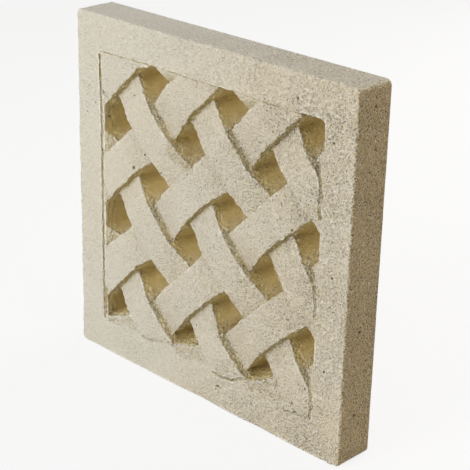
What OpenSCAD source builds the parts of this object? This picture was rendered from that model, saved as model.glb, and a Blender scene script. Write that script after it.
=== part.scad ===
// Cast stone ventilation grille: a square panel whose plain border frames a
// diagonal basket weave of flat straps, with an open gap between the straps.
// X is to the right as the face is seen, Y runs from the face to the back, Z is up.
// The origin is the middle of the foot of the panel.

/* [Panel] */
// Width and height of the square panel
panel_side = 300; // [260:1:420]
// Thickness of the panel from its face to its back
panel_t = 35; // [26:1:60]
// Width of the plain border round the weave
border_w = 30; // [20:1:45]
// Radius of the panel's four upright corners
corner_r = 5; // [3:0.5:12]
// Radius of the worn arris round the face
arris_r = 2; // [1:0.5:4]

/* [Weave] */
// Distance between neighbouring columns of crossings
pitch = 42.8; // [38:0.2:60]
// Width of a strap, measured at the face
strap_w = 30.6; // [20:0.2:38]
// How far a strap dips on its way from over its neighbour to under it
strap_dip = 8.5; // [4:0.5:14]
// How far the highest point of a strap lies below the border's face
strap_sink = 0.5; // [0.5:0.5:6]

/* [Mould] */
// Draft on every wall that leaves the mould, in degrees
draft = 6; // [0:1:8]
// Width of the narrow lip down the left side of the weave
lip_w = 2.7; // [1.5:0.1:8]
// Step from the border's face down to the lip
lip_step = 1.6; // [0.8:0.2:6]

/* [Hidden] */
// Flat stretches on a strap's face between one crossing and the next
WAVE_STEPS = 12;
// How far the weave is bedded into the border
BED = 2;
// How far a cutter passes a face
PAST = 1;
$fn = 64;

opening_side = panel_side - 2 * border_w;
// Distance along a strap from one crossing to the next
crossing_gap = pitch * sqrt(2);
// Half the diagonal of the bedded weave, as far as a strap can reach
weave_reach = (opening_side / 2 + BED) * sqrt(2);
// Straps to lay on each side of the middle
strap_rows = ceil(weave_reach / crossing_gap);

// How far a drafted wall leans over between the face and a depth
function lean(depth) = depth * tan(draft);

// Depth of a strap's face at a distance from the nearest place where it is over
function dip_at(run) = strap_sink + strap_dip * (1 - cos(180 * run / crossing_gap)) / 2;

// Bar along Y with drafted sides, between two heights measured from the face.
// It gets wider towards the back where way is 1, and narrower where way is -1.
module drafted_bar(face_w, way, length, top, bottom) {
    top_half = face_w / 2 - way * lean(top);
    bottom_half = face_w / 2 - way * lean(bottom);
    rotate([90, 0, 0])
        linear_extrude(height = length, center = true)
            polygon([[-bottom_half, bottom], [bottom_half, bottom], [top_half, top], [-top_half, top]]);
}

// Square outline with round corners
module panel_outline() {
    straight = panel_side - 2 * corner_r;
    square([panel_side, straight], center = true);
    square([straight, panel_side], center = true);
    for (x = [-1, 1], y = [-1, 1])
        translate([x * straight / 2, y * straight / 2])
            circle(r = corner_r);
}

// Section across the panel, with a round arris at both ends of the face
module arris_section() {
    flat_w = panel_side - 2 * arris_r;
    translate([-panel_side / 2, -panel_t])
        square([panel_side, panel_t - arris_r]);
    translate([-flat_w / 2, -panel_t])
        square([flat_w, panel_t]);
    for (x = [-1, 1])
        translate([x * flat_w / 2, -arris_r])
            circle(r = arris_r);
}

// The plain slab, lying face up with its face at height 0
module slab() {
    intersection() {
        translate([0, 0, -panel_t])
            linear_extrude(height = panel_t)
                panel_outline();
        intersection_for(turn = [0, 90])
            rotate([0, 0, turn])
                rotate([90, 0, 0])
                    linear_extrude(height = panel_side, center = true)
                        arris_section();
    }
}

// The border is the slab less a square opening that gets narrower towards the back
module border() {
    difference() {
        slab();
        intersection_for(turn = [0, 90])
            rotate([0, 0, turn])
                drafted_bar(opening_side, -1, panel_side, PAST, -panel_t - PAST);
    }
}

// Strap along X at a distance from the middle. over_at is where it passes over.
module strap(offset_y, over_at) {
    half_length = weave_reach - abs(offset_y) + strap_w;
    steps = ceil(half_length / crossing_gap * WAVE_STEPS);
    step = crossing_gap / WAVE_STEPS;
    face_line = [for (i = [-steps : steps]) [i * step, -dip_at(i * step - over_at)]];
    back_w = strap_w + 2 * lean(panel_t);
    translate([0, offset_y, 0])
        intersection() {
            rotate([90, 0, 0])
                linear_extrude(height = back_w + PAST, center = true)
                    polygon(concat(face_line, [[steps * step, -panel_t], [-steps * step, -panel_t]]));
            rotate([0, 0, 90])
                drafted_bar(strap_w, 1, 2 * steps * step, 0, -panel_t);
        }
}

// Both sets of straps, each over where the other is under, cut to the opening
module weave() {
    bed_side = opening_side + 2 * BED;
    intersection() {
        translate([-bed_side / 2, -bed_side / 2, -panel_t])
            cube([bed_side, bed_side, panel_t]);
        rotate([0, 0, 45]) {
            for (i = [-strap_rows : strap_rows - 1])
                strap((i + 0.5) * crossing_gap, i % 2 == 0 ? 0 : crossing_gap);
            for (j = [-strap_rows : strap_rows])
                rotate([0, 0, 90])
                    strap(-j * crossing_gap, (j % 2 == 0 ? -0.5 : 0.5) * crossing_gap);
        }
    }
}

// Narrow lip that closes the weave down the left side, one small step below the border
module left_lip() {
    length = opening_side + 2 * BED;
    rotate([90, 0, 0])
        linear_extrude(height = length, center = true)
            translate([-opening_side / 2, 0])
                polygon([[-BED, -lip_step], [lip_w + lean(lip_step), -lip_step],
                         [lip_w + lean(panel_t), -panel_t], [-BED, -panel_t]]);
}

// Stands the flat casting on its foot with its face to the front
module stand_up() {
    translate([0, -panel_t / 2, panel_side / 2])
        rotate([90, 0, 0])
            children();
}

module grille() {
    color("#d6cdb8")
        stand_up() {
            border();
            weave();
            left_lip();
        }
}

grille();
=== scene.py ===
# %% [markdown]
# # A cast stone ventilation grille
# The real object is one casting: a square panel of sandy, cream cast stone with a plain border, and a
# diagonal basket weave of flat straps inside it. This lesson dresses the plain CAD model of that panel. It
# makes one new surface with the soft edges, creases, pits and chips of a casting, gives it a stone finish,
# and lights it as a small studio would.

# %% Load the plain model
import math
import bpy
import numpy as np
from mathutils import Matrix, Vector


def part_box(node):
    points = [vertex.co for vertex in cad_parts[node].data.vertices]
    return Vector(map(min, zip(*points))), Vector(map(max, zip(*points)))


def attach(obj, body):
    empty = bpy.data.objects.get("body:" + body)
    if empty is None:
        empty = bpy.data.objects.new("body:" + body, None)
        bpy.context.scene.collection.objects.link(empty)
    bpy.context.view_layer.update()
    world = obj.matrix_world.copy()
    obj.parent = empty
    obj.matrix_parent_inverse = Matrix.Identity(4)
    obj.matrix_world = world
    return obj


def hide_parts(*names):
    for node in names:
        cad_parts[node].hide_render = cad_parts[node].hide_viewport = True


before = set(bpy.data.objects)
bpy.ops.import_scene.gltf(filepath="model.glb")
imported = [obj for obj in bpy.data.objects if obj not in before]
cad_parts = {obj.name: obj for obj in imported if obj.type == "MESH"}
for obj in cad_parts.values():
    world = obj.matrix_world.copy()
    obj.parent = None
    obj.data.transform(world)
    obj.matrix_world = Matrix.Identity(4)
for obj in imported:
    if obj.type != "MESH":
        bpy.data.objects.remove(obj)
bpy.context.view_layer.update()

# %% [markdown]
# ## Sizes
# Work on a casting is easiest in millimetres, measured from the middle of its face: x to the right, y from
# the face to the back, z up. The outer sizes come from the plain model's box, so that the dressed panel fits
# it. The weave has the plain model's pitch, strap width and draft. As on the casting in the photograph, the
# straps dip a little less than there, and the lip lies closer behind the face.

# %% Sizes in millimetres
low, high = (np.array(corner, float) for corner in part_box("grille"))
side = float(high[0] - low[0]) * 1000
thick = float(high[1] - low[1]) * 1000
half = side / 2
border_w = 30.0
opening = half - border_w  # from the middle to the wall of the opening, at the face
corner_r = 5.0  # of the panel's outline
arris_r = 2.2  # of the edges round the face, on average
back_r = 0.8  # of the edges round the back
opening_r = 4.0  # of the opening's corners
left_outset = 1.6  # how far the opening's left wall lies beyond its place in the plain model
pitch = 42.8
crossing_gap = pitch * math.sqrt(2)  # from one crossing to the next along a strap
strap_w = 30.6
strap_dip = 7.4
strap_sink = 0.5
strap_arris_r = 1.1
strap_fillet_r = 0.9
draft = math.tan(math.radians(6))
lip_w = 2.7
lip_step = 0.7
print(f"panel {side:.1f} by {thick:.1f} mm, opening {2 * opening:.0f} mm")
print(f"crossings {crossing_gap:.2f} mm apart along a strap")

# %% [markdown]
# ## How to make a surface with holes, round edges and dips
# A plain sheet over two parameters can't go through itself at eighteen gaps, and a bevel can't follow straps
# that melt into each other. A casting is better thought of as a field: a number for each point of space that
# says how far the point lies outside the stone, and is below zero inside it. The stone's skin is where the
# field is zero. Flat walls, round arrises and soft hollows are then all short formulas on whole arrays.
#
# Two helpers join fields. A plain maximum keeps only what is inside both, with a knife edge between them.
# The ones here turn that edge, or the inner corner of a plain minimum, into a quarter circle.

# %% Helpers that join two fields
def both(a, b, r):
    """Inside both fields. Where both lie closer than r to their skins, the distance is that of a circle of
    radius r: the length of what a and b reach past -r."""
    return np.minimum(np.maximum(a, b), -r) + np.hypot(np.maximum(a + r, 0), np.maximum(b + r, 0))


def either(a, b, r):
    """Inside either field, with a fillet of radius r in the corner between them."""
    return -both(-a, -b, r)


def ramp(a, start, end):
    """0 up to start, 1 from end on, and a smooth S between them."""
    t = np.clip((a - start) / (end - start), 0, 1)
    return t * t * (3 - 2 * t)


def patch(a, b, centre_a, centre_b, radius, rim=1.0, core=0.7):
    """1 near a place and 0 far from it. The distance counts as a part of the radius: up to core all is 1,
    and from rim on all is 0."""
    return ramp(-np.hypot(a - centre_a, b - centre_b) / radius, -rim, -core)


def waves(x, y, z, size, seed, count=14):
    """Soft noise between about -1 and 1: the mean of plane waves in random directions, whose lengths lie
    round the given size. The same seed gives the same noise."""
    rng = np.random.default_rng(seed)
    way = rng.normal(size=(count, 3))
    way *= 2 * math.pi / size * rng.uniform(0.7, 1.4, (count, 1)) / np.linalg.norm(way, axis=1)[:, None]
    start = rng.uniform(0, 2 * math.pi, count)
    total = 0
    for (a, b, c), s in zip(way, start):
        total = total + np.sin(a * x + b * y + c * z + s)
    return total * (1.4 / math.sqrt(count))


print(f"at a right-angled edge, a 2 mm round leaves {both(0.0, 0.0, 2.0):.3f} mm of air")

# %% [markdown]
# ## The slab
# The panel left its mould with worn arrises, and no two corners are quite alike. The slab is the distance to
# its six faces. The round along the face's edges changes slowly along the way, and every change moves the
# skin inwards, so the panel never grows past its box. The back and the foot stay flat, because the panel is
# bedded on them.

# %% Field of the slab
def slab(x, y, z):
    """The largest of the distances to the faces: the outline's corners are quarter circles, and the edges
    round the face are a circle whose radius wanders slowly, with small nibbles towards the right."""
    outline = both(np.abs(x) - half, np.abs(z) - half, corner_r)
    nibbles = 0.9 * waves(x, 0 * y, z, 6, 12, 8) * ramp(x, 100, 147)
    round_edge = arris_r + 0.5 * waves(x, 0 * y, z, 60, 11) + nibbles
    return both(both(outline, -y, np.clip(round_edge, 1.2, 4.5)), y - thick, back_r)


def opening_wall(x, y, z):
    """The square opening gets narrower towards the back by the draft: a wall's distance is how far a point
    lies from the middle, less the half width at its depth. Its left wall lies a little further out, along
    the crease."""
    half_w = opening - draft * y
    return both(np.maximum(x, -x - left_outset) - half_w, np.abs(z) - half_w, opening_r)


print("wall of the opening at the back:", round(opening - draft * thick, 2), "mm from the middle")

# %% [markdown]
# ## The straps
# Two sets of straps cross at right angles, both at 45 degrees to the border. Along a strap, its face follows
# a wave that stays long at its top, where the strap passes over, and at its bottom, where it passes under.
# Its side walls lean outwards with depth, as all walls do that leave a mould. Every strap is the same as its
# neighbour one step on, so the field of a whole set is the field of one strap, with the distance across
# folded back to the nearest one. One rising strap came out a little wider near its upper end, and one falling
# strap narrower near its lower end. A nudge of their half width there copies that.

# %% Field of the two sets of straps
RISING_NUDGE = (-49, 96, 23, 1.8)  # x, z, reach and what it adds to half the width
FALLING_NUDGE = (30, -98, 25, -2.9)
RIGHT_TRIM = 2.8  # what falling straps lose on one side at the right border
WALL_LEAN = 0.20  # by how much a strap's lower walls lean more than the draft
LEAN_DEPTH = 8


def strap(along, across, shift, start):
    """The place of points on the nearest strap. across is folded to its middle line, at whole steps plus
    shift. The even straps are over at start. Their height is the sine of a cosine, which stays longer at its
    top and bottom. Gives the share of the dip, its slope and the signed distance from the middle."""
    row = np.round(across / crossing_gap - shift)
    phase = (along - start) * math.pi / crossing_gap
    height = (1 - 2 * np.mod(row, 2)) * np.cos(phase)
    share = (1 - np.sin(height * math.pi / 2)) / 2
    slope = np.cos(height * math.pi / 2) * math.pi / 4 * np.sin(phase) * math.pi / crossing_gap
    return share, slope, across - (row + shift) * crossing_gap


def both_straps(x, z):
    """The rising and the falling strap at a place on the face: the drop of its face, its slope, the signed
    distance from its middle and its half width. The dip dies away in the last 10 mm before the border, and
    more slowly where a falling strap leaves the top border. Falling straps are trimmed on one side where they
    reach the right border."""
    along, across = (x + z) / math.sqrt(2), (z - x) / math.sqrt(2)
    share, slope, from_middle = strap(along, across, 0.5, 0)
    inwards = opening - np.maximum(np.abs(x), np.abs(z))
    dip = strap_dip * ramp(inwards, 0.5, 10)
    *place, more = RISING_NUDGE
    wide = strap_w / 2 + more * patch(x, z, *place) * (from_middle > 0)
    rising = (dip * share, dip * slope, from_middle, wide)
    dip = np.where((z > 100) & (from_middle > 0), strap_dip * ramp(inwards, -1, 14), dip)
    share, slope, from_middle = strap(across, along, 0, -crossing_gap / 2)
    trimmed = strap_w / 2 - RIGHT_TRIM * ramp(x, 98, 117) * (from_middle < 0)
    *place, more = FALLING_NUDGE
    trimmed = trimmed + more * patch(x, z, *place) * (from_middle > 0)
    return rising, (dip * share, dip * slope, from_middle, trimmed)


def weave(x, y, z):
    """Inside the leaning side walls of a strap and under its face, with a round arris between them. Where a
    wall of one strap meets the face of the other there is a fillet. Both walls wander a little."""
    wobble = 0.40 * waves(x, 0.3 * y, z, 34, 5, 8) + 0.22 * waves(x, y, z, 8, 6, 8)
    sets = []
    for drop, slope, from_middle, half_w in both_straps(x, z):
        lean = np.where(from_middle < 0, WALL_LEAN, 0.0) * np.clip(y, 0, LEAN_DEPTH)
        wall = (np.abs(from_middle) - half_w - draft * y - lean + wobble) / math.hypot(1, draft)
        sets.append(both(wall, (strap_sink + drop - y) / np.sqrt(1 + slope ** 2), strap_arris_r))
    return either(*sets, strap_fillet_r)


crossing_x, crossing_z = np.array([-1.5, 0.0, 0.5]) * pitch, np.array([0.5, 0.0, 1.5]) * pitch
print("field at three points on the face:", np.round(weave(crossing_x, np.zeros(3), crossing_z), 2))


# %% [markdown]
# ## The lip and the creases
# Down the left side a narrow lip closes the weave. Round the opening the straps meet the border along thin
# dark creases, where parts of the pattern for the mould met. Stone that the mould didn't keep out closes two
# sharp corners of the gaps with a rough web, the top of one gap with a short head, and the lowest part of the
# bottom gaps up to an uneven sill. All of them are stone below or above a bent line, or round a place, and
# start a millimetre behind the face. A crease is a groove along a few straight stretches, so its field is the
# distance to the nearest stretch, less half its width, and nothing below its bottom.

# %% Fields of the lip, the creases, the webs and the sill
CREASES = (  # half width, bottom, then x and z of the corners of its line on the face
    (0.35, 1.0, ((-117, 119.7), (-97, 119.6), (-73, 120.1), (-50, 120.6), (-17, 119.4), (42, 119.6),
                 (98, 119.2))),
    (0.90, 1.8, ((-122.4, 116), (-121.5, 95), (-120.7, 70), (-120.4, 35), (-120.4, 0))),
    (0.75, 1.8, ((-120.4, 0), (-120.4, -60), (-120.0, -119))),
    (1.50, 1.9, ((-118.4, -90), (-117.9, -96), (-117.8, -114))),
    (0.80, 1.8, ((-118.2, 85.5), (-112.5, 79.2))),
    (1.40, 1.9, ((113.5, 82.5), (117.6, 76.5), (118.9, 66), (117.9, 54), (119.8, 46))),
    (0.60, 1.1, ((119.8, 46), (113.0, 41.5))),
    (1.25, 1.8, ((113.5, -4), (117.2, -10), (118.6, -20), (118.8, -34))),
    (1.15, 1.7, ((113.0, -88), (116.9, -94), (118.6, -100), (119.0, -119))),
    (0.45, 0.8, ((92.3, -122.8), (104, -121.0), (119.2, -119.3))),
    (0.55, 1.1, ((-71.3, -119.4), (-58.7, -118.3), (-46.3, -114.9), (-40.2, -105.6))),
    (0.50, 1.0, ((13.4, -119.8), (23.5, -121.0), (34.8, -119.5), (45.8, -113.8), (51.2, -109.4))),
    (0.70, 1.4, ((23.5, -121.0), (34.8, -119.5))),
    (0.60, 2.4, ((34.8, -119.5), (45.8, -113.8), (51.2, -109.4))),
    (0.50, 0.8, ((72.0, -117.8), (81.1, -111.9))),
)
WEBS = ((-77.5, 116.8, 2.6), (96.0, 118.5, 2.2))  # x, z and radius
WEB_DEPTH = 1.3
SILL = (  # x and z of the line along its top
    (-125, -114.9, -88.7, -70, -40, -23.9, -10, -3.8, 10, 45, 59.4, 79.3, 84, 100, 125),
    (-118, -116.2, -105.6, -112, -114, -109.9, -106.5, -103.3, -112, -116, -110.6, -100.5, -104, -119, -122),
)
SILL_DEPTH = 1.2
HEAD = ((-82, -76, -70, -62, -56), (123, 115.0, 116.4, 118.6, 123))  # x and z of the line along its foot
HEAD_DEPTH = 1.0


def to_line(x, z, ends):
    """Distance from points to a bent line: for each stretch, the nearest place on it is the point's share
    along the stretch, kept between 0 and 1, and the shortest distance wins."""
    best = np.inf
    for (ax, az), (bx, bz) in zip(ends, ends[1:]):
        dx, dz = bx - ax, bz - az
        share = np.clip(((x - ax) * dx + (z - az) * dz) / (dx * dx + dz * dz), 0, 1)
        best = np.minimum(best, np.hypot(x - ax - share * dx, z - az - share * dz))
    return best


def creases(x, y, z):
    """Inside any crease. Its line strays a little, so that no stretch looks ruled."""
    stray = 0.18 * waves(x, 0 * y, z, 9, 21, 6)
    best = np.inf
    for half_w, bottom, ends in CREASES:
        best = np.minimum(best, both(to_line(x + stray, z + stray, ends) - half_w, y - bottom, 0.5))
    return best


def grille(x, y, z):
    """The whole casting: straps, lip, webs, sill and head inside the opening, joined to the slab, less the
    creases. The sill is the stone below its bent line, and the head the stone above its own."""
    lip = both(x + opening - lip_w - draft * y, lip_step - y, 0.6)
    inside = either(weave(x, y, z), lip, 0.5)
    for web_x, web_z, radius in WEBS:
        rough = 0.7 * waves(x, y, z, 5, 41, 6)
        web = both(np.hypot(x - web_x, z - web_z) - radius + rough, WEB_DEPTH + rough - y, 0.8)
        inside = either(inside, web, 0.8)
    uneven = 0.4 * waves(x, y, z, 7, 42, 8)
    sill = both(z - np.interp(x, *SILL) - draft * y + uneven, SILL_DEPTH + uneven - y, 1.2)
    inside = either(inside, sill, 1.5)
    head = both(np.interp(x, *HEAD) - z - draft * y + uneven, HEAD_DEPTH + uneven - y, 1.0)
    inside = either(inside, head, 1.0)
    block = slab(x, y, z)
    ring = both(block, -opening_wall(x, y, z), 0.9)
    body = both(either(ring, inside, 0.4), block, 0.3)
    return both(body, -creases(x, y, z), 0.3)


print(len(CREASES), "creases")

# %% [markdown]
# ## From a field to a mesh
# The field is sampled on a grid of lines, closer together where the shape is fine. Every small box of the
# grid that the skin passes through gets one vertex, in the mean of the places where its edges are crossed,
# and every crossed edge gets one face between the four boxes round it. It needs no table of cases, and whole
# arrays do all of it. Last, each vertex slides down the field's slope until it lies on the skin itself.

# %% Grid lines
def lines_across(spots, step=1.0, fine=0.5, reach=3.0):
    """Lines one step apart from edge to edge of the panel, and only fine apart within reach of each spot."""
    def near(a):
        return np.min(np.abs(a[:, None] - np.array(spots)), axis=1) < reach

    start, stop = -half - 1.5, half + 1.6
    coarse = np.arange(start, stop, step)
    dense = np.arange(start - step / 2 + fine / 2, stop, fine)
    return np.sort(np.concatenate([coarse[~near(coarse)], dense[near(dense)]]))


edges = (-half, -opening, opening, half)
across_lines = lines_across(edges)
up_lines = lines_across(edges + (-114, -108))  # the sill's top lies at these heights
front_lines = np.arange(-1.4, 11.8, 0.8)  # as deep as the straps dip
back_lines = thick + np.array([-1.4, -0.5, 0.6, 1.6])  # round the arris at the back
depth_lines = np.concatenate([front_lines, np.linspace(12.6, thick - 2.4, 9), back_lines])
print(len(across_lines), "lines across,", len(up_lines), "up and", len(depth_lines), "through the panel")

# %% Mesh from the field
def skin(field, lines):
    """Surface nets: one vertex in each crossed box, one four-sided face round each crossed edge."""
    xs, ys, zs = lines
    values = np.broadcast_to(field(xs[:, None, None], ys[None, :, None], zs[None, None, :]),
                             (len(xs), len(ys), len(zs)))
    boxes = tuple(n - 1 for n in values.shape)
    places, quads = [], []
    for axis in range(3):
        first = [slice(None)] * 3
        second = [slice(None)] * 3
        first[axis], second[axis] = slice(None, -1), slice(1, None)
        at = np.argwhere((values[tuple(first)] < 0) != (values[tuple(second)] < 0))
        after = at + np.eye(3, dtype=int)[axis]
        v0, v1 = values[tuple(at.T)], values[tuple(after.T)]
        place = np.stack([line[i] for line, i in zip(lines, at.T)], axis=1)
        place[:, axis] += v0 / (v0 - v1) * (lines[axis][after[:, axis]] - lines[axis][at[:, axis]])
        a, b = (axis + 1) % 3, (axis + 2) % 3
        quad = []
        for step_a, step_b in ((-1, -1), (0, -1), (0, 0), (-1, 0)):
            box = at.copy()
            box[:, a] += step_a
            box[:, b] += step_b
            quad.append(np.ravel_multi_index(box.T, boxes))
        quad = np.stack(quad, axis=1)
        quad[v0 > 0] = quad[v0 > 0][:, ::-1]
        places.append(np.repeat(place, 4, axis=0))
        quads.append(quad)
    quads = np.concatenate(quads)
    places = np.concatenate(places)
    _, vertex = np.unique(quads.ravel(), return_inverse=True)
    count = np.bincount(vertex)
    points = np.stack([np.bincount(vertex, places[:, i]) / count for i in range(3)], axis=1)
    return points, vertex.reshape(-1, 4)


def settle(field, points, rounds=2, eps=0.02, reach=0.8):
    """Newton's step: a point moves along the field's slope by the field's value over the slope's square, and
    no further than reach. Also gives the way out of the stone at each point."""
    for _ in range(rounds):
        x, y, z = points.T
        here = field(x, y, z)
        slope = np.stack([field(x + eps, y, z) - here, field(x, y + eps, z) - here,
                          field(x, y, z + eps) - here], axis=1) / eps
        size = np.maximum((slope ** 2).sum(axis=1), 0.25)
        points = points - np.clip(here / size, -reach, reach)[:, None] * slope
    return points, slope / np.sqrt(size)[:, None]


points, quads = skin(grille, (across_lines, depth_lines, up_lines))
points, way_out = settle(grille, points)
print(f"{len(points)} vertices and {len(quads)} faces from the field")

# %% [markdown]
# ## Dents and pits
# No face of a casting is quite flat. A soft unevenness of a tenth of a millimetre catches the light, the
# walls of the gaps are torn where the mould was pulled out, and here and there lies a pit that an air bubble
# or a lost grain left. All of it only presses the skin inwards, and the back and the foot stay flat. The pits
# that show best in the photograph are listed one by one, and a seeded scatter puts others on every side.

# %% Press the dents and pits
FACE_PITS = (  # x, z, radius and depth on the face
    (-5.3, 97.9, 1.3, 1.2), (-70.1, 23.8, 1.3, 1.1), (71.2, -13.5, 1.1, 1.1), (18.6, -77.8, 1.3, 1.2),
    (93.7, 130.0, 1.5, 1.4), (128.9, 105.5, 1.5, 1.3), (99.9, -113.9, 1.5, 1.3), (103.4, -119.5, 1.2, 0.9),
    (120.8, -107.9, 1.1, 0.8), (131.0, -110.5, 1.2, 0.8), (130.8, -74.3, 1.4, 1.0), (133.7, 3.4, 1.3, 1.0),
    (93.8, 33.9, 1.3, 0.9), (91.2, 27.5, 1.5, 1.0), (-83.5, 29.2, 1.7, 1.1), (11.0, 45.0, 1.4, 0.9),
    (13.2, 46.6, 1.3, 0.9), (15.6, 48.2, 1.3, 1.0), (18.8, -131.2, 1.4, 0.8), (20.6, -130.4, 1.2, 0.7),
)
EDGE_PITS = (  # depth from the face, height, radius and depth on the right edge
    (25.6, -66.7, 1.5, 1.4), (25.2, -75.0, 1.8, 0.9), (16.6, -109.9, 1.7, 1.4), (18.7, 133.3, 1.2, 1.2),
    (17.0, 85.3, 1.3, 1.0), (21.3, 101.3, 1.1, 0.9), (16.3, -39.3, 1.3, 0.9), (20.4, -99.6, 1.2, 0.9),
)
SCATTERED_PITS = 110


def press(points, way_out, where, radius, deep, skew=(1, 1, 1)):
    """A round dent: points nearer to a place than the radius sink by the depth times a smooth bell of their
    distance. A skew below 1 stretches the dent along that axis."""
    away = np.linalg.norm((points - where) * skew, axis=1) / radius
    bell = np.clip(1 - away ** 2, 0, 1)
    return points - way_out * (deep * bell ** 1.5)[:, None]


def inside_border(places):
    """1 up to a millimetre beyond the opening's wall, and 0 from 3 mm beyond it."""
    return ramp(-np.abs(places[:, [0, 2]]).max(axis=1), -opening - 3, -opening - 1)


walls = ramp(1 - np.abs(way_out[:, 1]), 0.3, 0.8) * inside_border(points)
# The tears are deepest in the first 8 mm behind the face, and none is left at 18 mm
torn = walls * ramp(-points[:, 1], -18, -8) * (0.35 + 0.40 * waves(*points.T, 4.2, 51, 12))
points -= way_out * np.clip(torn, 0, 1.2)[:, None]
# The unevenness spares the back and the foot
bedded = ramp(thick - points[:, 1], 0.5, 3) * ramp(points[:, 2] + half, 0.5, 3)
uneven = 0.20 + 0.10 * waves(*points.T, 16, 31, 10) + 0.09 * waves(*points.T, 5, 32, 12)
points -= way_out * (np.clip(uneven, 0, 1) * bedded)[:, None]
for x, z, radius, deep in FACE_PITS:
    points = press(points, way_out, (x, 0, z), radius, deep, (1, 0.1, 1))
for y, z, radius, deep in EDGE_PITS:
    points = press(points, way_out, (half, y, z), radius, deep)
rng = np.random.default_rng(77)
outer = np.flatnonzero((bedded == 1) & (np.abs(way_out).max(axis=1) > 0.9))
for pit in rng.choice(outer, SCATTERED_PITS, replace=False):
    points = press(points, way_out, points[pit].copy(), rng.uniform(0.9, 1.7), rng.uniform(0.4, 1.1))
print(f"the general unevenness presses the skin in by {uneven.min():.2f} to {uneven.max():.2f} mm")

# %% [markdown]
# ## From the mesh to a piece
# The even grid gives far more faces than flat stone needs. The Decimate modifier merges them where the skin
# is flat and keeps them round arrises, creases and pits. The Weighted Normal modifier lets the widest faces
# at a vertex decide how it is shaded, so that the flat back stays flat right up to the gaps. The result
# becomes the piece's own mesh, and the box of the plain model clips it.

# %% Into Blender
TRIANGLES = 185000  # in the finished piece


def piece_from(name, points, faces):
    """A mesh object at the origin: millimetres from the middle of the face become metres in the CAD frame."""
    mesh = bpy.data.meshes.new(name)
    mesh.from_pydata((points / 1000 + (0, -thick / 2000, half / 1000)).tolist(), [], faces.tolist())
    mesh.update()
    piece = bpy.data.objects.new(name, mesh)
    bpy.context.collection.objects.link(piece)
    return piece


def vectors(source, name):
    """The mesh's vectors of that name, one row for each vertex."""
    flat = np.empty(len(source) * 3, np.float32)
    source.foreach_get(name, flat)
    return flat.reshape(-1, 3).astype(float)


casting = piece_from("stone_casting", points, quads)
casting.data.polygons.foreach_set("use_smooth", np.ones(len(quads), bool))
thin = casting.modifiers.new("fewer faces", "DECIMATE")
thin.ratio = min(1, TRIANGLES / (2 * len(quads)))
flats = casting.modifiers.new("keep wide faces flat", "WEIGHTED_NORMAL")
flats.weight = 100
light_mesh = bpy.data.meshes.new_from_object(casting.evaluated_get(bpy.context.evaluated_depsgraph_get()))
casting.modifiers.clear()
casting.data = light_mesh
corners = np.clip(vectors(light_mesh.vertices, "co"), low, high).astype(np.float32)
light_mesh.vertices.foreach_set("co", corners.ravel())
light_mesh.update()
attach(casting, "root")
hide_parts("grille")
print(len(light_mesh.polygons), "triangles in the casting")

# %% [markdown]
# ## Where the stone changes colour
# Rain and hands keep the face pale. The walls of the gaps are rough near the face, and painted paler there
# than the face: a painted light for what the strap faces below throw onto them. Further in they turn a deep
# golden ochre, partly the stone's own tone and partly a painted glow of the light that comes through the
# gaps.
# Painted shade makes them darkest where they look down, in the upper left nook of each gap, in inner corners
# and by the left lip, and a painted pool of light makes them paler at the foot of a wall. A mottled painted
# shadow darkens a band just below some of their upper edges. Creases and pits are darker, arrises are a
# little paler, partly worn and partly as a painted highlight, and in some places the face is rough and tan.
# The material can't know any of this, so it is worked out here from the same formulas as the shape, and kept
# for each vertex as an attribute that the material reads. The back stays plain.

# %% Depth of the front skin
def stone_top(x, y, z):
    """Depth of the front skin over a place inside the stone: that of the highest strap whose walls hold the
    place, or that of the lip, the sill or the border."""
    top = np.where(opening_wall(x, y, z) > -0.5, 0.0, thick)
    top = np.where(x < lip_w - opening + draft * y, np.minimum(top, lip_step), top)
    top = np.where(z < np.interp(x, *SILL) + draft * y + 1, np.minimum(top, SILL_DEPTH), top)
    for drop, _, from_middle, half_w in both_straps(x, z):
        held = np.abs(from_middle) < half_w + draft * y + 0.5
        top = np.where(held, np.minimum(top, strap_sink + drop), top)
    return top


def mottle(places, size, seed, mean, spread):
    """Soft noise round a mean, kept between 0 and 1."""
    return np.clip(mean + spread * waves(*places.T, size, seed, 12), 0, 1)


spots = vectors(light_mesh.vertices, "co") * 1000 - (0, -thick / 2, half)
outward = vectors(light_mesh.vertex_normals, "vector")
spots_x, spots_y, spots_z = spots.T
out_x, out_y, out_z = outward.T
inner = spots - 1.5 * outward
below = spots_y - stone_top(inner[:, 0], spots_y, inner[:, 2])
print(f"the skin lies up to {below.max():.1f} mm behind the face over it")

# %% Attributes of the gaps' walls
wall = inside_border(spots) * (1 - out_y ** 2)
sill = ramp(out_z, 0.7, 0.95) * (1 - ramp(spots_y, 10, 26))
beside = spots + 5 * outward
half_way = np.full(len(spots), 18.0)
gap = ramp(grille(beside[:, 0], half_way, beside[:, 2]), -0.5, 2.0)  # 1 where a gap lies beside the wall
# Partly painted light: deep in the gaps and beside open gaps the walls turn an ochre brighter than the face's
# cream. It is a painted glow of the light that comes through the gaps, on top of the stone's own tone
gold = wall * np.maximum(ramp(below, 5, 12), gap * ramp(below, 0.3, 3.0)) * (1 - 0.1 * sill)
# Painted light: just behind the face the gaps' walls are painted paler than the face. This stands in for the
# light that the strap faces below throw onto them. The same mask makes them rougher
rough_wall_painted_light = wall * ramp(below, 0.2, 1.5) * (1 - ramp(below, 6, 12)) * (1 - 0.3 * sill)
# Painted shade: walls that look down are painted a near-black olive, where they lie in shade
shaded = wall * ramp(-out_z, 0.2, 0.6) * ramp(below, 0.0, 1.6)
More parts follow.
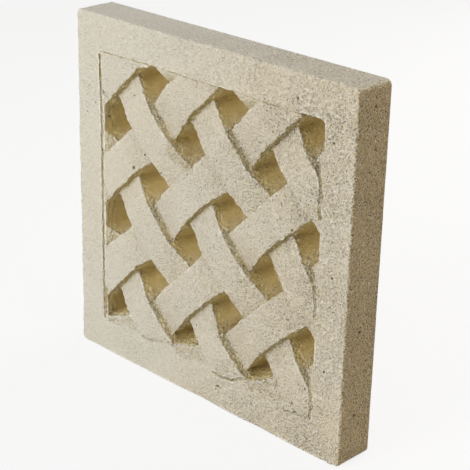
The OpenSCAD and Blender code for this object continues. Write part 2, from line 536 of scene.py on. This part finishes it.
# Painted shade: the upper left nook of each gap, deep where the walls meet, is painted dark brown, where
# shade gathers
towards_nook = spots + 1.5 * outward + (-5.0, 0.0, 5.0)  # up and to the left
painted_nook_shade = wall * (1 - ramp(grille(*towards_nook.T), -1, 7))
_, _, from_rising, _ = both_straps(spots_x, spots_z)[0]
to_rising = np.where(from_rising > 0, from_rising - strap_w / 2 - draft * spots_y, 99)
# Painted light: the foot of each wall that faces right, near the rising strap, is painted pale. This is a
# pool of the light that reaches the lower part of the gap. It also opens the grain there
foot = wall * ramp(out_x, 0.2, 0.6) * (1 - ramp(to_rising, 1, 13))
faces_up_right = ramp(out_x + out_z, 0.5, 1.1)
# Painted shadow: a mottled dark band lies just below the upper edge of walls that face up and right, under
# the arris
painted_lip_shadow = wall * faces_up_right * ramp(below, 0.2, 0.8) * (1 - ramp(below, 1.2, 2.6))
painted_lip_shadow = painted_lip_shadow * mottle(spots, 4, 61, 0.5, 0.8)
# Painted shade: inner corners, where other stone lies close in front, and the walls by the left lip are
# painted darker, where shade gathers
corner = 1 - np.clip(grille(*(spots + 3 * outward).T) / 3, 0, 1)  # other stone lies close in front
corner = corner * (1 - 0.7 * wall * ramp(out_x, 0.3, 0.7))
by_lip = wall * ramp(-spots_x, 103, 110) * mottle(spots, 5, 62, 0.6, 0.7)
corner = np.maximum(corner, by_lip)
print(f"{np.mean(wall > 0.5):.0%} of the vertices lie on the gaps' walls")

# %% Attributes of the face and its edges
OPEN_GRAIN = (  # x, z, radius and strength of the places where the face is rough
    (20, 135, 22, 0.6), (60, 134, 24, 0.8), (100, 132, 24, 0.7), (134, 118, 18, 0.7), (133, 88, 20, 0.9),
    (136, 60, 20, 1.0), (134, 30, 20, 0.9), (131, 0, 18, 0.8), (-37, 55, 10, 2.0), (-27, 50, 12, 2.3),
    (-28, -19, 10, 1.8), (49, 86, 13, 0.5), (56, 62, 14, 1.2), (27, 74, 13, 0.7), (12, 48, 14, 0.9),
    (77, 108, 22, 0.8), (100, 44, 20, 1.0), (48, -24, 16, 0.9), (68, -24, 16, 1.2), (16, -74, 16, 0.8),
    (114, -14, 14, 1.0), (112, -40, 14, 0.9), (22, -114, 10, 0.9), (-113, 68, 9, 1.6), (-113, -8, 8, 1.6),
    (-112, -94, 7, 1.2), (60, -134, 22, 0.4), (105, -132, 22, 0.7), (118, 68, 10, 1.2), (-98, 96, 8, 0.6),
)
crease = ramp(-creases(*spots.T), -0.4, 0.0)
# Arrises are painted paler, partly as wear and partly as a painted highlight along the rims
wear_and_rim_highlight = np.zeros(len(spots))  # where a step inwards stays near the skin, as at an arris
for reach in (1.0, 2.0):
    wear_and_rim_highlight = np.maximum(wear_and_rim_highlight, 1 + np.clip(grille(*(spots - outward * reach).T) / reach, -1, 0))
wear_and_rim_highlight = wear_and_rim_highlight * (1 - wall * ramp(below, 0.8, 2.5)) * (1 - 0.8 * ramp(spots_x, half - 4, half - 1))
wear_and_rim_highlight = wear_and_rim_highlight * (1 - 0.7 * shaded)
pit = np.zeros(len(spots))
for x, z, radius, _ in FACE_PITS:
    pit = np.maximum(pit, patch(spots_x, spots_z, x, z, radius, 1.1, 0.5) * (spots_y < 4))
for y, z, radius, _ in EDGE_PITS:
    pit = np.maximum(pit, patch(spots_y, spots_z, y, z, radius, 1.1, 0.5) * (spots_x > half - 4))
open_grain = np.zeros(len(spots))
for x, z, radius, strength in OPEN_GRAIN:
    open_grain = np.maximum(open_grain, strength * patch(spots_x, spots_z, x, z, radius, 1.2, 0.4))
on_sill = np.isclose(spots_y - below, SILL_DEPTH) * ramp(-out_y, 0.2, 0.6)
crumbled = np.maximum(1.3 * on_sill, 0.8 * sill * wall)
gold = gold * (1 - 0.6 * ramp(open_grain, 1.4, 2.3))
open_grain = np.maximum(open_grain * (1 - 0.6 * wall) * (spots_y < 20), crumbled)
for name, value in (("gold", gold), ("rough_wall_painted_light", rough_wall_painted_light), ("shaded", shaded), ("painted_nook_shade", painted_nook_shade),
                    ("foot", foot), ("painted_lip_shadow", painted_lip_shadow), ("corner", corner), ("pit", pit),
                    ("crease", crease), ("wear_and_rim_highlight", wear_and_rim_highlight), ("open_grain", open_grain)):
    value = value * (spots_y < thick - 1)  # none on the back
    light_mesh.attributes.new(name, "FLOAT", "POINT").data.foreach_set("value", value.astype(np.float32))
    print(f"{name} runs from {value.min():.2f} to {value.max():.2f}")

# %% [markdown]
# ## The stone
# Cast stone is crushed limestone and sand in cement. Close up it is a cream ground with darker and lighter
# grains of about a millimetre, and pinholes where air stayed in the mould. The face is smoother on the left
# and more open on the right. Towards the right it is also painted warmer and, with more dark grain, darker:
# painted light, for a warm light on that side and the key lamp's falloff. Noise and Voronoi textures on
# Object coordinates give the grains and pinholes their size in metres, so they stay with the stone from every
# side.
# One noise makes both the relief and the colour of the sand, so the low specks are the dark ones, and the
# pinholes are round spots of a slightly shaken Voronoi pattern, so that no two are quite alike.

# %% Helper for nodes
def node(tree, kind, inputs=(), **settings):
    """Adds a node, sets its options, and fills its inputs with values or links."""
    new = tree.nodes.new(kind)
    for name, value in settings.items():
        setattr(new, name, value)
    for name, value in dict(inputs).items():
        if isinstance(value, bpy.types.NodeSocket):
            tree.links.new(value, new.inputs[name])
        else:
            new.inputs[name].default_value = value
    return new


def remap(tree, value, low, high, to_low, to_high):
    """The value's range from low to high becomes to_low to to_high, and stays within it."""
    return node(tree, "ShaderNodeMapRange", {"Value": value, "From Min": low, "From Max": high,
                                             "To Min": to_low, "To Max": to_high}).outputs[0]


def maths(tree, operation, a, b):
    """One operation on two numbers, such as their product."""
    return node(tree, "ShaderNodeMath", {0: a, 1: b}, operation=operation).outputs[0]


def blend(tree, share, first, second):
    """The first colour where the share is 0, and the second where it is 1."""
    return node(tree, "ShaderNodeMix", {0: share, 6: first, 7: second}, data_type="RGBA").outputs[2]


# %% Grains and pinholes
def kept(name, low, high, to_high):
    """An attribute of the mesh as a share: none at low, and to_high of it from high on."""
    share = node(tree, "ShaderNodeAttribute", attribute_name=name).outputs["Fac"]
    return remap(tree, share, low, high, 0.0, to_high)


def times(a, b):
    """The product of two numbers of the stone's nodes."""
    return maths(tree, "MULTIPLY", a, b)


def plus(a, b):
    """Their sum."""
    return maths(tree, "ADD", a, b)


def less(a, b):
    """The first without the second."""
    return maths(tree, "SUBTRACT", a, b)


def noise(scale, detail, output="Fac", roughness=0.5):
    """Noise that stays with the stone. Its features are about a metre wide, divided by the scale."""
    inputs = {"Vector": place, "Scale": scale, "Detail": detail, "Roughness": roughness}
    return node(tree, "ShaderNodeTexNoise", inputs).outputs[output]


stone = bpy.data.materials.new("cast stone")
stone.use_nodes = True
tree = stone.node_tree
shader = tree.nodes["Principled BSDF"]
place = node(tree, "ShaderNodeTexCoord").outputs["Object"]
across, _, upward = node(tree, "ShaderNodeSeparateXYZ", {0: place}).outputs
patches = noise(26, 2)
# How open the stone's face is: little at the left, more at the right, and least deep in the gaps. Its rise
# to the right also paints the face darker there with more dark grain, a painted falloff of the key lamp
openness_and_painted_falloff = plus(remap(tree, across, -0.12, 0.12, 0.35, 0.9), kept("rough_wall_painted_light", 0.1, 0.8, 0.1))
openness_and_painted_falloff = less(openness_and_painted_falloff, kept("gold", 0.1, 0.9, 0.36))
openness_and_painted_falloff = plus(openness_and_painted_falloff, kept("foot", 0.0, 1.0, 0.35))
openness_and_painted_falloff = times(openness_and_painted_falloff, remap(tree, patches, 0.35, 0.65, 0.80, 1.20))
pitted = plus(openness_and_painted_falloff, kept("open_grain", 0.0, 2.0, 1.2))
sanded = plus(openness_and_painted_falloff, kept("open_grain", 0.0, 2.0, 0.35))
grain = noise(700, 2, roughness=0.6)
sand = noise(600, 0)
lumps = noise(210, 2)
# Object coordinates moved by up to a millimetre, so that no spot of a pattern is quite round
shaken = noise(620, 1, "Color")
for operation, other in (("SUBTRACT", (0.5, 0.5, 0.5)), ("MULTIPLY", (0.0020,) * 3), ("ADD", place)):
    shaken = node(tree, "ShaderNodeVectorMath", {0: shaken, 1: other}, operation=operation).outputs[0]


def pinholes(scale, share, radius):
    """Round spots in a share of the cells of a Voronoi pattern: 1 in the middle of a spot, 0 from its rim on,
    and the pale rim that lies round it. The radius is a part of the distance between cells."""
    cells = node(tree, "ShaderNodeTexVoronoi", {"Vector": shaken, "Scale": scale})
    chance = node(tree, "ShaderNodeSeparateColor", {0: cells.outputs["Color"]}).outputs
    chosen = remap(tree, chance[0], 1 - share, 1 - share + 0.04, 0.0, 1.0)
    size = remap(tree, chance[1], 0.0, 1.0, 0.4 * radius, 1.1 * radius)
    away = maths(tree, "DIVIDE", cells.outputs["Distance"], size)
    spot = remap(tree, away, 0.55, 1.0, 1.0, 0.0)
    # The colour uses the pale ring round each spot as a painted highlight
    rim = maths(tree, "MINIMUM", remap(tree, away, 0.8, 1.1, 0.0, 1.0), remap(tree, away, 1.2, 1.9, 1.0, 0.0))
    return [times(ring, chosen) for ring in (spot, rim)]


fine_holes, fine_rims = [times(ring, pitted) for ring in pinholes(320, 0.8, 0.31)]
wide_holes, wide_rims = pinholes(95, 0.22, 0.11)
clustered = remap(tree, pitted, 0.75, 1.7, 0.0, 1.0)
mid_holes = times(pinholes(260, 0.95, 0.33)[0], clustered)

# %% Relief
# Heights are parts of the bump's distance of 3.5 mm
relief = plus(times(sand, 0.94), times(grain, 0.10))
relief = times(relief, sanded)
relief = plus(relief, times(lumps, 0.30))
relief = less(relief, times(fine_holes, 0.20))
relief = less(relief, times(mid_holes, 0.24))
relief = less(relief, times(wide_holes, 0.9))
bump = node(tree, "ShaderNodeBump", {"Height": relief, "Strength": 1.0, "Distance": 0.0035})
tree.links.new(bump.outputs[0], shader.inputs["Normal"])

# %% Colour
TONES = (  # attribute, where its share starts and is full, that full share, and the colour it brings
    ("open_grain", 0.6, 2.4, 0.8, (0.60, 0.51, 0.33, 1)),
    # painted light on the walls just behind the face
    ("rough_wall_painted_light", 0.1, 0.8, 0.9, (0.98, 0.90, 0.69, 1)),
    # painted shade on walls that look down
    ("shaded", 0.1, 0.8, 1.0, (0.17, 0.135, 0.05, 1)),
    # partly the stone's tone, partly a painted glow of light through the gaps
    ("gold", 0.1, 0.9, 1.0, (0.88, 0.73, 0.38, 1)),
    # painted light at the foot of a wall
    ("foot", 0.0, 1.0, 0.9, (0.98, 0.95, 0.82, 1)),
    # painted shade in the upper left nook
    ("painted_nook_shade", 0.0, 1.0, 0.8, (0.50, 0.38, 0.14, 1)),
    # painted shade in inner corners and by the lip
    ("corner", 0.15, 0.9, 0.55, (0.46, 0.38, 0.20, 1)),
    # painted shadow under the arris
    ("painted_lip_shadow", 0.0, 0.8, 0.75, (0.26, 0.20, 0.08, 1)),
    # wear and a painted highlight on the arrises
    ("wear_and_rim_highlight", 0.08, 0.28, 0.7, (0.90, 0.85, 0.72, 1)),
)
slow = noise(9, 3)
# Painted light: the ground turns warmer towards the right, standing in for warm light on that side. A slow
# noise also changes its tone at random
sandy_and_painted_warmth = remap(tree, across, -0.13, 0.13, -0.1, 0.6)
sandy_and_painted_warmth = plus(sandy_and_painted_warmth, remap(tree, slow, 0.38, 0.62, 0.0, 0.4))
cream = blend(tree, sandy_and_painted_warmth, (0.69, 0.645, 0.54, 1), (0.70, 0.61, 0.45, 1))
# Painted shade: the outer sides are painted browner and the top greyer than the face, as they lie darker in
# the light. Both are told by how far out a place lies
outer_side = remap(tree, maths(tree, "ABSOLUTE", across, 0.0), 0.1482, 0.1494, 0.0, 0.85)
cream = blend(tree, outer_side, cream, (0.445, 0.34, 0.177, 1))
outer_top = remap(tree, upward, 0.2990, 0.2998, 0.0, 0.5)
cream = blend(tree, outer_top, cream, (0.55, 0.53, 0.49, 1))
ground = cream  # each tone covers the ones before it
for name, start, full, most, colour in TONES:
    ground = blend(tree, kept(name, start, full, most), ground, colour)
# Pale and dark grains of sand. The dark ones are fewer inside the gaps and stronger on the outer sides, where
# they are also painted darker with the sides' painted shade
pale_share = times(remap(tree, outer_side, 0.0, 0.85, 0.40, 0.12), openness_and_painted_falloff)
pale_sand = times(remap(tree, sand, 0.58, 0.70, 0.0, 1.0), pale_share)
pale = blend(tree, pale_sand, ground, (0.93, 0.88, 0.77, 1))
indoors = maths(tree, "MAXIMUM", kept("gold", 0.1, 0.9, 1.0), kept("rough_wall_painted_light", 0.1, 0.8, 1.0))
grit = times(openness_and_painted_falloff, remap(tree, indoors, 0.0, 1.0, 1.0, 0.5))
grit = times(grit, remap(tree, outer_side, 0.0, 0.85, 1.0, 1.9))
dark_sand = times(remap(tree, sand, 0.31, 0.41, 0.32, 0.0), grit)
on_side = remap(tree, outer_side, 0.0, 0.85, 0.0, 1.0)
dark_grain = blend(tree, on_side, (0.34, 0.26, 0.12, 1), (0.20, 0.15, 0.07, 1))
grainy = blend(tree, dark_sand, pale, dark_grain)
# Pinholes with their pale rims, and on top the darker colour in pits and creases
# Painted highlight: the pale rims round the pinholes stand in for their lit inner walls
painted_rim_highlight = maths(tree, "MAXIMUM", fine_rims, wide_rims)
painted_rim_highlight = times(painted_rim_highlight, remap(tree, indoors, 0.0, 1.0, 0.35, 0.05))
rimmed = blend(tree, painted_rim_highlight, grainy, (0.95, 0.90, 0.79, 1))
# On the outer sides the pinholes are painted darker too, with the sides' painted shade
dots = times(fine_holes, remap(tree, outer_side, 0.0, 0.85, 0.58, 1.0))
dark_dot = blend(tree, on_side, (0.27, 0.19, 0.075, 1), (0.14, 0.10, 0.045, 1))
dotted = blend(tree, dots, rimmed, dark_dot)
dotted = blend(tree, times(mid_holes, 0.62), dotted, (0.32, 0.21, 0.08, 1))
holes = blend(tree, times(wide_holes, 0.85), dotted, (0.12, 0.09, 0.05, 1))
holes = blend(tree, kept("pit", 0.1, 0.9, 0.85), holes, (0.10, 0.08, 0.04, 1))
soiled = blend(tree, kept("crease", 0.1, 0.7, 0.90), holes, (0.45, 0.36, 0.17, 1))
tree.links.new(soiled, shader.inputs["Base Color"])
shader.inputs["Roughness"].default_value = 0.92
shader.inputs["Specular IOR Level"].default_value = 0.25
casting.data.materials.clear()
casting.data.materials.append(stone)
print(len(tree.nodes), "nodes in the stone")

# %% [markdown]
# ## The studio
# The photograph is a cut-out on white. A pale floor and a white world stand in for it. The camera sees both
# brighter than the object does, by the Light Path node, so the white comes from no added light and the floor
# still shows the panel's shadow. One broad lamp in front on the left models the weave, a weak one overhead
# greys the top, and two more light the back and warm the right side. The sky is brighter on the left.

# %% What the camera sees brighter
def seen_by_camera(tree):
    """1 for what the camera sees, straight on or in a mirror or a glass, and 0 for the light that falls."""
    rays = node(tree, "ShaderNodeLightPath").outputs
    straight_or_mirrored = maths(tree, "MAXIMUM", rays["Is Camera Ray"], rays["Is Glossy Ray"])
    return maths(tree, "MAXIMUM", straight_or_mirrored, rays["Is Transmission Ray"])


# %% Floor
GLOW_SHARE = 0.82  # of the floor's brightness that the camera sees, the rest is lit and shaded
bpy.ops.mesh.primitive_plane_add(size=8, location=(0, 0, 0))
floor = bpy.context.object
floor.name = "studio_floor"
paint = bpy.data.materials.new("pale floor")
paint.use_nodes = True
floor_tree = paint.node_tree
floor_shader = floor_tree.nodes["Principled BSDF"]
floor_shader.inputs["Base Color"].default_value = (0.86, 0.86, 0.86, 1)
floor_shader.inputs["Roughness"].default_value = 0.9
glow = node(floor_tree, "ShaderNodeEmission", {"Color": (1, 1, 1, 1), "Strength": 1.0}).outputs[0]
glowing = maths(floor_tree, "MULTIPLY", seen_by_camera(floor_tree), GLOW_SHARE)
mixed = node(floor_tree, "ShaderNodeMixShader", {0: glowing, 1: floor_shader.outputs[0], 2: glow})
floor_tree.links.new(mixed.outputs[0], floor_tree.nodes["Material Output"].inputs["Surface"])
floor.data.materials.append(paint)

# %% World
world = bpy.data.worlds.new("studio")
bpy.context.scene.world = world
world.use_nodes = True
air = world.node_tree
looking = node(air, "ShaderNodeTexCoord").outputs["Generated"]
compass = node(air, "ShaderNodeSeparateXYZ", {0: looking}).outputs
dome = remap(air, compass[0], -1.0, 1.0, 0.34, 0.14)  # from the left to the right
strength = maths(air, "MAXIMUM", dome, seen_by_camera(air))
air.nodes["Background"].inputs["Color"].default_value = (1, 1, 1, 1)
air.links.new(strength, air.nodes["Background"].inputs["Strength"])


# %% Lamps
PANEL_MIDDLE = Vector((0, 0, 0.15))


def softbox(name, place, size, watts, colour):
    """A square lamp that points at the middle of the panel."""
    lamp = bpy.data.lights.new(name, "AREA")
    lamp.size = size
    lamp.energy = watts
    lamp.color = colour
    box = bpy.data.objects.new(name, lamp)
    bpy.context.collection.objects.link(box)
    box.location = place
    box.rotation_euler = (PANEL_MIDDLE - Vector(place)).to_track_quat("-Z", "Y").to_euler()


softbox("key", (-0.35, -2.35, 0.85), 1.2, 32, (1, 1, 1))
softbox("overhead", (0.4, -0.3, 1.6), 1.3, 7.4, (0.96, 0.98, 1))
softbox("behind", (0.2, 1.3, 0.75), 1.2, 13, (1, 0.93, 0.80))
softbox("warm reflector", (1.25, 0.3, 0.35), 0.8, 1.2, (1, 0.66, 0.30))

# %% Camera
lens = bpy.data.cameras.new("camera")
lens.lens = 109.7
lens.sensor_width = 36
camera = bpy.data.objects.new("camera", lens)
bpy.context.collection.objects.link(camera)
standpoint = Vector((0.7390, -0.7460, 0.5826))
aim = Vector((0.03545, -0.0175, 0.15715))
roll = math.radians(-1.406)
look = (aim - standpoint).to_track_quat("-Z", "Y").to_matrix().to_4x4()
camera.matrix_world = Matrix.Translation(standpoint) @ look @ Matrix.Rotation(-roll, 4, "Z")
bpy.context.scene.camera = camera
bpy.context.scene.view_settings.view_transform = "Standard"
